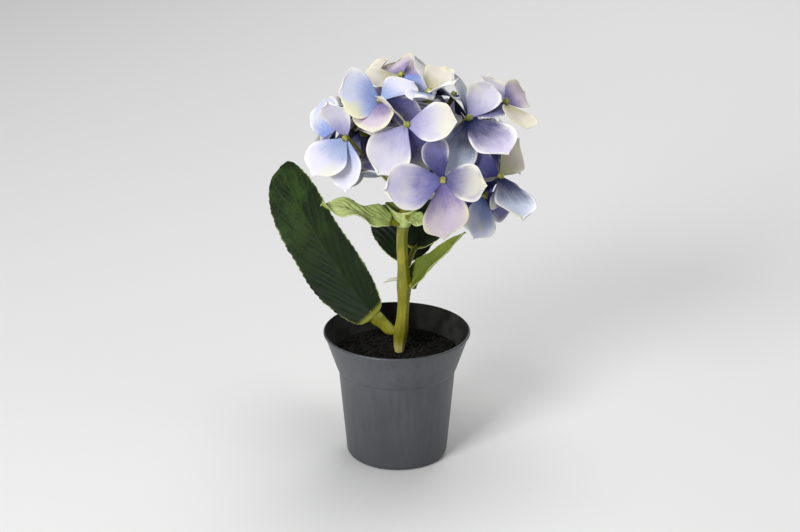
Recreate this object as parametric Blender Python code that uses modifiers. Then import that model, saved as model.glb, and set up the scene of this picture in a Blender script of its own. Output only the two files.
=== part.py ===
"""A small artificial hydrangea in a nursery pot.

One moulded stem stands in a filled pot. It carries leaf blades on short stalks, and a round
flower head whose masses sit on stalks that spread from a hub.

Units are metres and +Z is up. The origin is the centre of the pot's flat underside.
Angles are in degrees: a heading is counted from +X towards +Y, and a rise from the horizontal.
"""

import math

import bmesh
import bpy
from mathutils import Matrix, Vector

NAME = "potted_artificial_hydrangea"
GAP = 0.0003  # between two pieces that touch

# Pot: a thin shell with a flared collar above a small step
POT_HEIGHT = 0.0635
POT_WALL = 0.0012
POT_SIDES = 40
RIM_RADIUS = 0.035
RIM_BAND = 0.0014  # height of the upright edge of the rim
COLLAR_TOP_RADIUS = 0.0342
COLLAR_FOOT_RADIUS = 0.0288
COLLAR_FOOT_HEIGHT = 0.0452
BODY_TOP_RADIUS = 0.0279
STEP_HEIGHT = 0.0010
BODY_FOOT_RADIUS = 0.0243
FOOT_ROUND = 0.0030
FOOT_ROUND_STEPS = 3

# Fill: the dark granules that hold the stem
FILL_DEPTH = 0.0115  # from the rim down to the top of the fill
FILL_FLAT_RADIUS = 0.008
FILL_DIP = 0.0008
FILL_SIDES = 32

# Stem: a gentle bow with a swelling at each leaf node, as (x, height, radius)
STEM_LINE = (
    (0.0012, 0.0000, 0.0021),
    (0.0012, 0.0040, 0.0027),
    (0.0019, 0.0105, 0.0034),
    (0.0026, 0.0170, 0.0029),
    (0.0032, 0.0260, 0.0028),
    (0.0034, 0.0345, 0.0034),
    (0.0031, 0.0430, 0.0027),
    (0.0025, 0.0530, 0.0026),
    (0.0027, 0.0610, 0.0026),
    (0.0038, 0.0680, 0.0032),
)
STEM_STEPS = 3  # between two points of the line
STEM_TOP = 0.0782  # above the fill, under the hub

# Flower head: an uneven round dome, cut into masses that spread from the hub
HEAD_CENTRE = Vector((0.0065, 0.0, 0.1545))
HEAD_RADII = Vector((0.0505, 0.0480, 0.0385))
HEAD_LEAN = 16.0  # the whole head leans towards +X
HUB_CENTRE = Vector((0.0060, 0.0, 0.1370))
HUB_RADIUS = 0.0062
MASS_INNER = 0.0160  # from the hub's centre to the inner face of each mass
MASS_GAP = 0.0012  # between neighbouring masses
MASS_DETAIL = 4
UNDERSIDE_RISE = -3.0
UNDERSIDE_DROP = 0.0015
FLORET_SWELL = 0.10  # how far each floret stands out, as a share of the radius
FLORET_SPREAD = 17.0  # the angle over which a floret's swelling fades
FLORET_EVEN = 0.35  # the swelling's mean share, which leaves the head's size as stated
FLORET_RINGS = ((1, 90.0, 0.0), (5, 52.0, 20.0), (8, 22.0, 5.0), (8, -2.0, 27.0))
MASSES = (
    ("bloom_top", 0.0, 90.0),
    ("bloom_upper_front", -100.0, 46.0),
    ("bloom_upper_right", -8.0, 44.0),
    ("bloom_upper_back", 84.0, 46.0),
    ("bloom_upper_left", 176.0, 44.0),
    ("bloom_lower_front_left", -128.0, 6.0),
    ("bloom_lower_front_right", -66.0, 6.0),
    ("bloom_lower_right", -4.0, 6.0),
    ("bloom_lower_back_right", 56.0, 6.0),
    ("bloom_lower_back_left", 118.0, 6.0),
    ("bloom_lower_left", 174.0, 6.0),
)
HEAD_STALK_RADIUS = 0.0011

# Leaves: the node's height above the fill, the stalk's heading, rise and length, and then the
# blade's heading, rise, roll, length, width, fold, arch, and how full its base and tip are (the
# smaller, the blunter)
LEAVES = (
    ("low_left", 0.0105, 168, 40, 0.0095, 148, 41, -80, 0.094, 0.0370, 8, 31, 0.44, 0.34),
    ("middle_right", 0.0345, -16, 54, 0.0005, -14, 50, 26, 0.0375, 0.0170, 20, 4, 0.22, 0.86),
    ("middle_back_left", 0.0345, 92, 40, 0.009, 88, 30, 6, 0.050, 0.034, 10, 22, 0.66, 0.78),
    ("upper_back_right", 0.0430, 62, 40, 0.008, 58, 33, -6, 0.055, 0.036, 10, 24, 0.66, 0.78),
    ("top_left", 0.0665, 216, 25, 0.002, 178, 19, -12, 0.0335, 0.0180, 8, 10, 0.44, 0.52),
    ("top_front", 0.0697, 282, 10, 0.0010, -14, -9, 22, 0.0125, 0.0104, 8, 10, 0.46, 0.60),
)
LEAF_STALK_RADIUS = 0.0012
LEAF_THICKNESS = 0.0009
LEAF_BASE_HALF_WIDTH = 0.0014
LEAF_TIP_HALF_WIDTH = 0.0005
LEAF_WAVE = 0.0012
LEAF_RIPPLES = 9.0  # radians of wave along the blade's edge
LEAF_STEPS = 10
LEAF_STRIPS = 4

FILL_TOP = POT_HEIGHT - FILL_DEPTH


# ---------------------------------------------------------------- scene and materials
def clear_scene():
    for old in list(bpy.data.objects):
        bpy.data.objects.remove(old, do_unlink=True)


def make_material(name, colour, roughness):
    """A plain Principled surface; nothing on the plant is metal."""
    material = bpy.data.materials.new(name)
    material.use_nodes = True
    shader = material.node_tree.nodes["Principled BSDF"]
    shader.inputs["Base Color"].default_value = (*colour, 1.0)
    shader.inputs["Roughness"].default_value = roughness
    shader.inputs["Metallic"].default_value = 0.0
    return material


def add_object(name, data, material):
    """Links one named object of the plant, with its material."""
    item = bpy.data.objects.new(name, data)
    plant.objects.link(item)
    data.materials.append(material)
    return item


def add_mesh(name, bm, material):
    mesh = bpy.data.meshes.new(name)
    bm.to_mesh(mesh)
    bm.free()
    return add_object(name, mesh, material)


# ---------------------------------------------------------------- turned pieces
def add_turned(name, line, sides, material):
    """Turns an outline of (radius, height) points, listed from top to bottom, about Z."""
    bm = bmesh.new()
    corners = [bm.verts.new((radius, 0.0, height)) for radius, height in line]
    for upper, lower in zip(corners, corners[1:]):
        bm.edges.new((upper, lower))
    item = add_mesh(name, bm, material)
    screw = item.modifiers.new("turn", "SCREW")
    screw.axis = "Z"
    screw.angle = math.tau
    screw.steps = sides
    screw.render_steps = sides
    screw.use_merge_vertices = True
    screw.merge_threshold = 0.00001
    return item


def pot_line():
    """The pot's outer outline, from the rim down to the middle of the underside."""
    line = [
        (RIM_RADIUS, POT_HEIGHT),
        (RIM_RADIUS, POT_HEIGHT - RIM_BAND),
        (COLLAR_TOP_RADIUS, POT_HEIGHT - 1.6 * RIM_BAND),
        (COLLAR_FOOT_RADIUS, COLLAR_FOOT_HEIGHT),
        (BODY_TOP_RADIUS, COLLAR_FOOT_HEIGHT - STEP_HEIGHT),
    ]
    centre = BODY_FOOT_RADIUS - FOOT_ROUND
    for step in range(FOOT_ROUND_STEPS + 1):
        turn = math.radians(90.0 * step / FOOT_ROUND_STEPS)
        line.append((centre + FOOT_ROUND * math.cos(turn), FOOT_ROUND * (1 - math.sin(turn))))
    line.append((0.0, 0.0))
    return line


def inset_line(line, distance):
    """Moves an outline in towards the axis by a distance, square to each of its stretches."""
    normals = []
    for (r0, z0), (r1, z1) in zip(line, line[1:]):
        run = math.hypot(r1 - r0, z1 - z0)
        normals.append(((z1 - z0) / run, (r0 - r1) / run))
    moved = []
    for index in range(1, len(line) - 1):
        (ar, az), (br, bz) = normals[index - 1], normals[index]
        share = distance / (1.0 + ar * br + az * bz)
        moved.append((line[index][0] + share * (ar + br), line[index][1] + share * (az + bz)))
    return moved


def add_pot(material):
    item = add_turned("pot", pot_line(), POT_SIDES, material)
    shell = item.modifiers.new("wall", "SOLIDIFY")
    shell.thickness = POT_WALL
    shell.offset = -1.0
    shell.use_even_offset = True
    return item


def add_fill(material):
    """Follows the inside of the pot's wall, from the top of the fill to the floor."""
    inside = inset_line(pot_line(), POT_WALL + GAP)
    upper = [point for point in inside if point[1] >= FILL_TOP][-1]
    lower = [point for point in inside if point[1] < FILL_TOP]
    share = (FILL_TOP - lower[0][1]) / (upper[1] - lower[0][1])
    edge = lower[0][0] + share * (upper[0] - lower[0][0])
    top = [
        (0.0, FILL_TOP),
        (FILL_FLAT_RADIUS, FILL_TOP),
        ((FILL_FLAT_RADIUS + edge) / 2.0, FILL_TOP - FILL_DIP),
        (edge, FILL_TOP),
    ]
    return add_turned("fill", [*top, *lower, (0.0, lower[-1][1])], FILL_SIDES, material)


# ---------------------------------------------------------------- limbs
def add_limb(name, points, radii, material):
    """A round limb through points, with its own radius at each and flat, filled ends."""
    curve = bpy.data.curves.new(name, "CURVE")
    curve.dimensions = "3D"
    curve.bevel_depth = 1.0
    curve.bevel_resolution = 2
    curve.use_fill_caps = True
    spline = curve.splines.new("POLY")
    spline.points.add(len(points) - 1)
    for corner, place, radius in zip(spline.points, points, radii):
        corner.co = (*place, 1.0)
        corner.radius = radius
    return add_object(name, curve, material)


def smooth_values(rows, steps):
    """Catmull-Rom values between rows of numbers, so that a limb bends evenly."""
    ends = [rows[0], *rows, rows[-1]]
    found = []
    for a, b, c, d in zip(ends, ends[1:], ends[2:], ends[3:]):
        for step in range(steps):
            t = step / steps
            found.append(
                tuple(
                    0.5 * (2 * q + (r - p) * t + (2 * p - 5 * q + 4 * r - s) * t**2
                           + (3 * q - p - 3 * r + s) * t**3)
                    for p, q, r, s in zip(a, b, c, d)
                )
            )
    return [*found, rows[-1]]


def stem_rows():
    """The stem as (x, height above the fill, radius), ending under the hub."""
    top = (HUB_CENTRE.x, STEM_TOP, STEM_LINE[-1][2])
    return smooth_values([*STEM_LINE, top], STEM_STEPS)


def stem_at(height):
    """The stem's middle and radius at a height above the fill."""
    rows = stem_rows()
    x, found, radius = min(rows, key=lambda row: abs(row[1] - height))
    return Vector((x, 0.0, FILL_TOP + GAP + found)), radius


def add_stem(material):
    rows = stem_rows()
    points = [(x, 0.0, FILL_TOP + GAP + height) for x, height, _ in rows]
    return add_limb("stem", points, [radius for _, _, radius in rows], material)


# ---------------------------------------------------------------- leaves
def direction(heading, rise):
    flat, up = math.radians(heading), math.radians(rise)
    return Vector((math.cos(flat) * math.cos(up), math.sin(flat) * math.cos(up), math.sin(up)))


def blade_half_width(along, width, base_fullness, tip_fullness):
    """Half the width of a blade, from its base (0) to its tip (1), blunter where it is fuller."""
    fullest = base_fullness / (base_fullness + tip_fullness)
    oval, peak = [
        place**base_fullness * (1.0 - place) ** tip_fullness for place in (along, fullest)
    ]
    ends = LEAF_BASE_HALF_WIDTH + (LEAF_TIP_HALF_WIDTH - LEAF_BASE_HALF_WIDTH) * along
    return ends + (width / 2.0 - LEAF_BASE_HALF_WIDTH) * oval / peak


def add_leaf(leaf, stalk_material, blade_material):
    """A short stalk that leaves the stem at a node, and a thin folded blade that carries on."""
    name, height, stalk_heading, stalk_rise, stalk_length = leaf[:5]
    heading, rise, roll, length, width, fold, arch, base_fullness, tip_fullness = leaf[5:]
    node, stem_radius = stem_at(height)
    out = direction(stalk_heading, stalk_rise)
    level = Vector((out.x, out.y, 0.0)).normalized()
    start = node + level * (stem_radius + GAP)
    elbow = start + level * LEAF_STALK_RADIUS
    end = elbow + out * stalk_length
    points = [start, elbow, (elbow + end) / 2.0, end]
    radii = [LEAF_STALK_RADIUS * size for size in (1.25, 1.15, 0.95, 1.0)]
    add_limb("leaf_stalk_" + name, points, radii, stalk_material)

    fold, arch = math.radians(fold), math.radians(arch)
    corner_reach = math.hypot(LEAF_THICKNESS / 2.0, LEAF_BASE_HALF_WIDTH)
    slant = out.angle(direction(heading, rise))
    seat = end + out * (GAP + corner_reach * math.sin(slant))
    place = (
        Matrix.Translation(seat)
        @ Matrix.Rotation(math.radians(heading), 4, "Z")
        @ Matrix.Rotation(-math.radians(rise), 4, "Y")
        @ Matrix.Rotation(math.radians(roll), 4, "X")
    )
    bm = bmesh.new()
    bmesh.ops.create_grid(bm, x_segments=LEAF_STEPS, y_segments=LEAF_STRIPS, size=1.0)
    for corner in bm.verts:
        along, across = (corner.co.x + 1.0) / 2.0, corner.co.y
        half = blade_half_width(along, width, base_fullness, tip_fullness)
        ripple = LEAF_WAVE * math.sin(LEAF_RIPPLES * along + 2.0 * across) * abs(across) * along
        forward = length * math.sin(arch * along) / arch
        droop = length * (1.0 - math.cos(arch * along)) / arch
        lift = half * abs(across) * math.sin(fold) + ripple
        corner.co = (forward, half * across * math.cos(fold), lift - droop)
    bm.transform(place)
    blade = add_mesh("leaf_" + name, bm, blade_material)
    sheet = blade.modifiers.new("thickness", "SOLIDIFY")
    sheet.thickness = LEAF_THICKNESS
    sheet.offset = 0.0


# ---------------------------------------------------------------- flower head
def ring_directions(rings):
    """Directions spread evenly round each ring of (count, rise, first heading)."""
    found = []
    for count, rise, first in rings:
        for index in range(count):
            found.append(direction(first + 360.0 * index / count, rise))
    return found


def head_reach(towards, florets):
    """How far the head reaches from the hub's centre in one direction, before it leans."""
    start = HUB_CENTRE - HEAD_CENTRE
    a = sum((t / r) ** 2 for t, r in zip(towards, HEAD_RADII))
    b = sum(s * t / r**2 for s, t, r in zip(start, towards, HEAD_RADII))
    c = sum((s / r) ** 2 for s, r in zip(start, HEAD_RADII)) - 1.0
    reach = (math.sqrt(b * b - a * c) - b) / a
    nearest = min(math.degrees(towards.angle(floret)) for floret in florets)
    return reach * (1.0 + FLORET_SWELL * (math.exp(-((nearest / FLORET_SPREAD) ** 2)) - FLORET_EVEN))


def cut_away(bm, point, normal):
    """Cuts a closed mesh with a plane, drops the side the normal points to and closes the cut."""
    everything = [*bm.verts, *bm.edges, *bm.faces]
    bmesh.ops.bisect_plane(bm, geom=everything, plane_co=point, plane_no=normal, clear_outer=True)
    open_edges = [edge for edge in bm.edges if edge.is_boundary]
    if open_edges:
        bmesh.ops.holes_fill(bm, edges=open_edges, sides=0)


def add_mass(name, middle, others, underside, florets, lean, material):
    """One mass of the head: the part of the dome that is nearer its direction than any other."""
    bm = bmesh.new()
    bmesh.ops.create_icosphere(bm, subdivisions=MASS_DETAIL, radius=1.0)
    for corner in bm.verts:
        towards = corner.co.normalized()
        corner.co = HUB_CENTRE + towards * head_reach(towards, florets)
    for other in others:
        normal = (other - middle).normalized()
        cut_away(bm, HUB_CENTRE - normal * MASS_GAP / 2.0, normal)
    if underside is not None:
        cut_away(bm, HUB_CENTRE - Vector((0.0, 0.0, UNDERSIDE_DROP)), underside)
    cut_away(bm, HUB_CENTRE + middle * MASS_INNER, -middle)
    bmesh.ops.triangulate(bm, faces=[face for face in bm.faces if len(face.verts) > 4])
    bmesh.ops.recalc_face_normals(bm, faces=bm.faces)
    bm.transform(lean)
    return add_mesh(name, bm, material)


def add_head(hub_material, stalk_material, bloom_material):
    bm = bmesh.new()
    bmesh.ops.create_uvsphere(bm, u_segments=16, v_segments=8, radius=HUB_RADIUS)
    bmesh.ops.translate(bm, verts=bm.verts, vec=HUB_CENTRE)
    add_mesh("flower_hub", bm, hub_material)

    florets = ring_directions(FLORET_RINGS)
    middles = {name: direction(heading, rise) for name, heading, rise in MASSES}
    about_hub = Matrix.Translation(HUB_CENTRE)
    lean = about_hub @ Matrix.Rotation(math.radians(HEAD_LEAN), 4, "Y") @ about_hub.inverted()
    for name, heading, rise in MASSES:
        middle = middles[name]
        others = [towards for other, towards in middles.items() if other != name]
        underside = None
        if rise < 30.0:
            underside = -direction(heading, UNDERSIDE_RISE + 90.0)
        add_mass(name, middle, others, underside, florets, lean, bloom_material)
        start = lean @ (HUB_CENTRE + middle * (HUB_RADIUS + GAP))
        end = lean @ (HUB_CENTRE + middle * (MASS_INNER - GAP))
        radii = [HEAD_STALK_RADIUS * size for size in (1.2, 0.9, 1.1)]
        points = [start, (start + end) / 2.0, end]
        add_limb(name.replace("bloom", "flower_stalk"), points, radii, stalk_material)


# ---------------------------------------------------------------- the plant
clear_scene()
plant = bpy.data.collections.new(NAME)
bpy.context.scene.collection.children.link(plant)

pot_plastic = make_material("pot_plastic", (0.040, 0.043, 0.048), 0.45)
dark_fill = make_material("dark_fill", (0.010, 0.009, 0.008), 0.95)
stem_plastic = make_material("stem_plastic", (0.42, 0.42, 0.07), 0.50)
leaf_fabric = make_material("leaf_fabric", (0.035, 0.085, 0.030), 0.75)
bloom_fabric = make_material("bloom_fabric", (0.52, 0.54, 0.80), 0.80)

add_pot(pot_plastic)
add_fill(dark_fill)
add_stem(stem_plastic)
for row in LEAVES:
    add_leaf(row, stem_plastic, leaf_fabric)
add_head(stem_plastic, stem_plastic, bloom_fabric)
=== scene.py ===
# %% [markdown]
# # A small artificial hydrangea in its nursery pot
#
# The plant is a table decoration: one moulded stem in a weighted pot, stiffened fabric leaves
# that plug into the stem, and a round head of fabric blossoms. The construction is already
# packed as a plain model. This lesson dresses it: every plain piece gets either a better
# surface or a detailed mesh that takes its place, in metres, in the model's own frame.

import math
import random

import bmesh
import bpy
from mathutils import Matrix, Vector, noise
from mathutils.bvhtree import BVHTree


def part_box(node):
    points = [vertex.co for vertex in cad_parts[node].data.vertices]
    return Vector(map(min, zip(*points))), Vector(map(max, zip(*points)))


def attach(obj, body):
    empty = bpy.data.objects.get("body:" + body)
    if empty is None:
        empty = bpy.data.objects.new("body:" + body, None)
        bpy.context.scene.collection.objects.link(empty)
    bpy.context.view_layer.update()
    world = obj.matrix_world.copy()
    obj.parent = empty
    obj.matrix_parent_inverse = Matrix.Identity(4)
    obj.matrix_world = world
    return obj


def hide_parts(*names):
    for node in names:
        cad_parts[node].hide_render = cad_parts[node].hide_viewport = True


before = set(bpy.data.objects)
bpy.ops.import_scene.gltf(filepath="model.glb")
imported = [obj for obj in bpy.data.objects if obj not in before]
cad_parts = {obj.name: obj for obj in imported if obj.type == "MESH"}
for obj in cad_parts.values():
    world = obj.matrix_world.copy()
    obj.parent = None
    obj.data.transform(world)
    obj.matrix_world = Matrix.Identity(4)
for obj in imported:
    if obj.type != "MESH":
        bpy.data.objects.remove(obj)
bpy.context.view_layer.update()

# %% [markdown]
# ## The camera
#
# A table plant is seen from a chair: a little from above, with a long lens, so that the pot
# keeps its straight sides. The camera stands about a metre away and is turned to the middle
# of the plant. From further back and lower down it would frame the plant as well, but then
# the top of the pot would look flatter than it should.

# %% Set up the camera
CAMERA_PLACE = Vector((0.0, -0.895, 0.448))
CAMERA_AIM = Vector((0.0015, 0.0, 0.0960))
LENS_MM = 92.0
SENSOR_MM = 36.0
NEAREST_SEEN = 0.01

view = CAMERA_AIM - CAMERA_PLACE
lens = bpy.data.cameras.new("camera")
lens.lens = LENS_MM
lens.sensor_width = SENSOR_MM
lens.clip_start = NEAREST_SEEN
camera = bpy.data.objects.new("camera", lens)
camera.location = CAMERA_PLACE
camera.rotation_mode = "QUATERNION"
camera.rotation_quaternion = view.to_track_quat("-Z", "Y")
bpy.context.scene.collection.objects.link(camera)
bpy.context.scene.camera = camera
print("camera looks down by", round(math.degrees(math.atan2(-view.z, view.y)), 1), "degrees")

# %% [markdown]
# ## Adding nodes as sums
#
# A material is a graph of nodes, and wiring it by hand hides what it works out. Two small
# classes fix that. `Value` wraps a socket, so that `1 - mask * 0.5` adds the Math nodes it
# needs. `Finish` is one material being made, with a single method that adds any other node.

# %% Wrap sockets and materials
class Value:
    """One number, colour or vector that travels through a material."""

    def __init__(self, finish, socket):
        self.finish = finish
        self.socket = socket

    def work(self, operation, *terms, clamp=False):
        settings = {"operation": operation, "use_clamp": clamp}
        return self.finish.add("ShaderNodeMath", settings, dict(enumerate(terms)))

    def __add__(self, other):
        return self.work("ADD", self, other)

    def __sub__(self, other):
        return self.work("SUBTRACT", self, other)

    def __mul__(self, other):
        return self.work("MULTIPLY", self, other)

    def __pow__(self, other):
        return self.work("POWER", self, other)

    def __rsub__(self, other):
        return self.work("SUBTRACT", other, self)

    def __abs__(self):
        return self.work("ABSOLUTE", self)

    __radd__ = __add__
    __rmul__ = __mul__

    def most(self, other):
        return self.work("MAXIMUM", self, other)

    def wave(self):
        return self.work("SINE", self)

    def from_to(self, low, high):
        """0 below low and 1 above high, with a soft step between; low may be the larger."""
        settings = {"interpolation_type": "SMOOTHSTEP"}
        return self.finish.add("ShaderNodeMapRange", settings, {0: self, 1: low, 2: high})


class Finish:
    """One material: plain values for its shader, and nodes for what changes over it."""

    def __init__(self, name, roughness, **plain):
        self.material = bpy.data.materials.new(name)
        self.material.use_nodes = True
        self.tree = self.material.node_tree
        self.shader = self.tree.nodes["Principled BSDF"]
        self.shader.inputs["Roughness"].default_value = roughness
        for socket, value in plain.items():
            self.shader.inputs[socket.replace("_", " ")].default_value = value

    def add(self, kind, settings=None, inputs=None, output=0):
        """Adds a node: its settings first, then a value or a link for each socket named."""
        node = self.tree.nodes.new(kind)
        for name, setting in (settings or {}).items():
            setattr(node, name, setting)
        for socket, value in (inputs or {}).items():
            self.feed(node.inputs[socket], value)
        return Value(self, node.outputs[output])

    def feed(self, socket, value):
        if isinstance(value, Value):
            self.tree.links.new(value.socket, socket)
        else:
            socket.default_value = value

    def mix(self, share, first, second):
        """A colour that goes from the first to the second as the share goes from 0 to 1."""
        # this node has sockets for numbers and vectors too, so its colours are 6, 7 and, out, 2
        settings = {"data_type": "RGBA", "clamp_factor": True}
        return self.add("ShaderNodeMix", settings, {0: share, 6: first, 7: second}, 2)

    def place(self, scale=(1.0, 1.0, 1.0), kind="Object"):
        """The surface's own coordinates, stretched by a scale."""
        own = self.add("ShaderNodeTexCoord", output=kind)
        return self.add("ShaderNodeVectorMath", {"operation": "MULTIPLY"}, {0: own, 1: scale})

    def height(self):
        """How high a spot of the surface lies, in metres."""
        own = self.add("ShaderNodeTexCoord", output="Object")
        return self.add("ShaderNodeSeparateXYZ", inputs={0: own}, output="Z")

    def along_and_across(self):
        """The two numbers of the surface's UV map: 0 to 1 along it, and -1 to 1 across it."""
        own = self.add("ShaderNodeTexCoord", output="UV")
        along = self.add("ShaderNodeSeparateXYZ", inputs={0: own}, output="X")
        across = Value(self, along.socket.node.outputs["Y"])
        return along, across * 2.0 - 1.0

    def mottle(self, vector, scale, detail=3.0):
        """Soft noise, mostly between 0.3 and 0.7."""
        inputs = {"Vector": vector, "Scale": scale, "Detail": detail, "Roughness": 0.55}
        return self.add("ShaderNodeTexNoise", inputs=inputs)

    def paint(self, colour):
        self.feed(self.shader.inputs["Base Color"], colour)

    def shine(self, roughness):
        self.feed(self.shader.inputs["Roughness"], roughness)

    def emboss(self, height, distance, strength=1.0):
        """Raises the surface by a height of 0 to 1, times a distance in metres."""
        inputs = {"Height": height, "Distance": distance, "Strength": strength}
        self.feed(self.shader.inputs["Normal"], self.add("ShaderNodeBump", inputs=inputs))


def rgb(red, green, blue):
    return (red, green, blue, 1.0)


print("helpers ready")

# %% [markdown]
# ## The stage
#
# A product picture needs little: a pale floor that runs out of sight, a large soft lamp from
# the upper left, a weak one from the right, one overhead, and one from behind that lights the
# petals' edges. Large lamps give soft shadows. One small lamp would be simpler, but it would
# draw hard shadows of every petal on its neighbours.

# %% Lay the floor and hang the lamps
FLOOR_HALF = 3.0
FLOOR_GREY = 0.70
SKY_STRENGTH = 0.23

bm = bmesh.new()
bmesh.ops.create_grid(bm, x_segments=1, y_segments=1, size=FLOOR_HALF)
floor_mesh = bpy.data.meshes.new("floor")
bm.to_mesh(floor_mesh)
bm.free()
floor = bpy.data.objects.new("floor", floor_mesh)
bpy.context.scene.collection.objects.link(floor)
floor_finish = Finish("pale_floor", 0.85)
floor_finish.paint(rgb(FLOOR_GREY, FLOOR_GREY, FLOOR_GREY))
floor_mesh.materials.append(floor_finish.material)

# place, side in metres and watts
LAMPS = {
    "key": ((-0.72, -1.05, 0.78), 0.50, 17.8),
    "fill": ((1.05, -0.70, 0.75), 0.90, 1.8),
    "top": ((0.10, 0.10, 1.35), 0.70, 7.5),
    "back": ((0.35, 1.10, 0.80), 0.80, 5.0),
}
for name, (spot, size, watts) in LAMPS.items():
    lamp = bpy.data.lights.new(name, "AREA")
    lamp.size = size
    lamp.energy = watts
    lamp_object = bpy.data.objects.new(name, lamp)
    lamp_object.location = spot
    lamp_object.rotation_mode = "QUATERNION"
    lamp_object.rotation_quaternion = (CAMERA_AIM - Vector(spot)).to_track_quat("-Z", "Y")
    bpy.context.scene.collection.objects.link(lamp_object)

world = bpy.data.worlds.new("studio")
world.use_nodes = True
sky = world.node_tree.nodes["Background"]
sky.inputs["Color"].default_value = rgb(1.0, 1.0, 1.0)
sky.inputs["Strength"].default_value = SKY_STRENGTH
bpy.context.scene.world = world
bpy.context.scene.view_settings.view_transform = "Standard"
print(len(LAMPS), "lamps")

# %% [markdown]
# ## Moulded plastic for the pot
#
# Such pots are blown from recycled polypropylene. The plastic is charcoal with a soft satin
# shine, a few faint draw marks down its wall, and a fine grain from the mould. A little dust
# makes the shine uneven, so the roughness varies too. Painted shade darkens the wall towards
# the foot, and inside, the wall is painted nearly black and dull as painted shade of the hollow.
# A picture of plastic could be wrapped round the pot, but noise has no seam and stays sharp up
# close.

# %% Mix the pot's plastic
pot_finish = Finish("pot_plastic", 0.42, IOR=1.5)
cloudy = pot_finish.mottle(pot_finish.place(), 38.0)
drawn = pot_finish.mottle(pot_finish.place((1.0, 1.0, 0.06)), 520.0, 2.0)
tone = (cloudy * 0.6 + drawn * 0.4).from_to(0.30, 0.70)
charcoal = pot_finish.mix(tone, rgb(0.050, 0.054, 0.063), rgb(0.080, 0.086, 0.098))
# painted shade: the wall darkens towards the foot
painted_foot_shade = pot_finish.height().from_to(0.046, 0.004) * 0.55
pot_finish.paint(pot_finish.mix(painted_foot_shade, charcoal, rgb(0.040, 0.043, 0.050)))
pot_finish.shine(0.34 + cloudy * 0.22)
pot_finish.emboss(pot_finish.mottle(pot_finish.place(), 2600.0, 2.0), 0.00006, 0.5)

# painted shade: the inside wall is nearly black and dull, with a faint mottle
inside_finish = Finish("painted_shade_inside", 0.85, Specular_IOR_Level=0.25)
inside_mottle = inside_finish.mottle(inside_finish.place(), 160.0, 4.0).from_to(0.35, 0.70)
inside_finish.paint(inside_finish.mix(inside_mottle, rgb(0.010, 0.010, 0.010), rgb(0.026, 0.025, 0.024)))
print(pot_finish.material.name, inside_finish.material.name)

# %% [markdown]
# ## The pot
#
# The pot is a turned shape, so its outline is spun about the axis. The plain model has the
# same outline with 40 flat sides; here it gets 120, a rounded lip, a bead at the foot of the
# collar and a shallow ring under the foot. The rim's radius and height come from the plain
# pot's own box.

# %% Spin the pot
POT_SIDES = 120
WALL = 0.0012
LIP = 0.0007
INNER_LIP_DEPTH = 0.0016
# how far in and down the collar's straight wall begins
LIP_FOOT = (0.0009, 0.0022)
# radius and height
COLLAR_FOOT = (0.0288, 0.0452)
BODY_TOP = (0.0279, 0.0442)
BODY_FOOT_RADIUS = 0.0243
BEAD = 0.0003
BEAD_RUN = 0.0012
STEP_EASE = (0.0002, 0.0004)
FOOT_ROUND = 0.0030
FOOT_RING = (0.0150, 0.0170)
RING_DEPTH = 0.0004
SHARPEST_BEND = math.radians(38)
MERGE = 0.000001


def arc(centre, radius, first, last, steps):
    """Points of a round stretch, by angles in degrees from the radial direction."""
    turns = [math.radians(first + (last - first) * step / steps) for step in range(steps + 1)]
    return [(centre[0] + radius * math.cos(t), centre[1] + radius * math.sin(t)) for t in turns]


def finished(name, bm, *finishes):
    """Turns a bmesh into a smooth object with its materials, riding on the plant's one body."""
    mesh = bpy.data.meshes.new(name)
    bm.to_mesh(mesh)
    bm.free()
    mesh.shade_smooth()
    for finish in finishes:
        mesh.materials.append(finish.material)
    piece = bpy.data.objects.new(name, mesh)
    bpy.context.scene.collection.objects.link(piece)
    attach(piece, "root")
    return piece


def spin_outline(bm, outline, sides):
    """Turns an outline of (radius, height) about the upright axis into a closed skin."""
    corners = [bm.verts.new((radius, 0.0, height)) for radius, height in outline]
    edges = [bm.edges.new(pair) for pair in zip(corners, corners[1:])]
    bmesh.ops.spin(
        bm, geom=[*corners, *edges], cent=(0, 0, 0), axis=(0, 0, 1), angle=math.tau, steps=sides,
        use_merge=True,
    )
    bmesh.ops.remove_doubles(bm, verts=bm.verts, dist=MERGE)
    bmesh.ops.recalc_face_normals(bm, faces=bm.faces)


pot_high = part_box("pot")[1]
rim_radius = pot_high.x
pot_height = pot_high.z
outer = [
    *arc((rim_radius - LIP, pot_height - LIP), LIP, 90, -30, 6),
    (rim_radius - LIP_FOOT[0], pot_height - LIP_FOOT[1]),
    (COLLAR_FOOT[0] + BEAD, COLLAR_FOOT[1] + BEAD_RUN),
    (COLLAR_FOOT[0], COLLAR_FOOT[1] + BEAD),
    (COLLAR_FOOT[0] - BEAD, COLLAR_FOOT[1]),
    (BODY_TOP[0] + STEP_EASE[0], BODY_TOP[1] + STEP_EASE[1]),
    BODY_TOP,
    *arc((BODY_FOOT_RADIUS - FOOT_ROUND, FOOT_ROUND), FOOT_ROUND, 4, -90, 6),
    (FOOT_RING[1], 0.0),
    (FOOT_RING[1] - RING_DEPTH, RING_DEPTH),
    (FOOT_RING[0] + RING_DEPTH, RING_DEPTH),
    (FOOT_RING[0], 0.0),
    (0.0, 0.0),
]
inner = [
    (0.0, WALL),
    (BODY_FOOT_RADIUS - FOOT_ROUND, WALL),
    (BODY_TOP[0] - WALL, BODY_TOP[1]),
    (COLLAR_FOOT[0] - WALL, COLLAR_FOOT[1]),
    (rim_radius - 2.0 * LIP, pot_height - INNER_LIP_DEPTH),
]
bm = bmesh.new()
spin_outline(bm, [*inner, *outer], POT_SIDES)
for face in bm.faces:
    middle = face.calc_center_median()
    looks_inwards = face.normal.dot(Vector((middle.x, middle.y, 0.0))) < 0.0
    if middle.z > WALL and looks_inwards:
        face.material_index = 1
pot_piece = finished("nursery_pot", bm, pot_finish, inside_finish)
pot_piece.data.set_sharp_from_angle(angle=SHARPEST_BEND)
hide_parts("pot")
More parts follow.
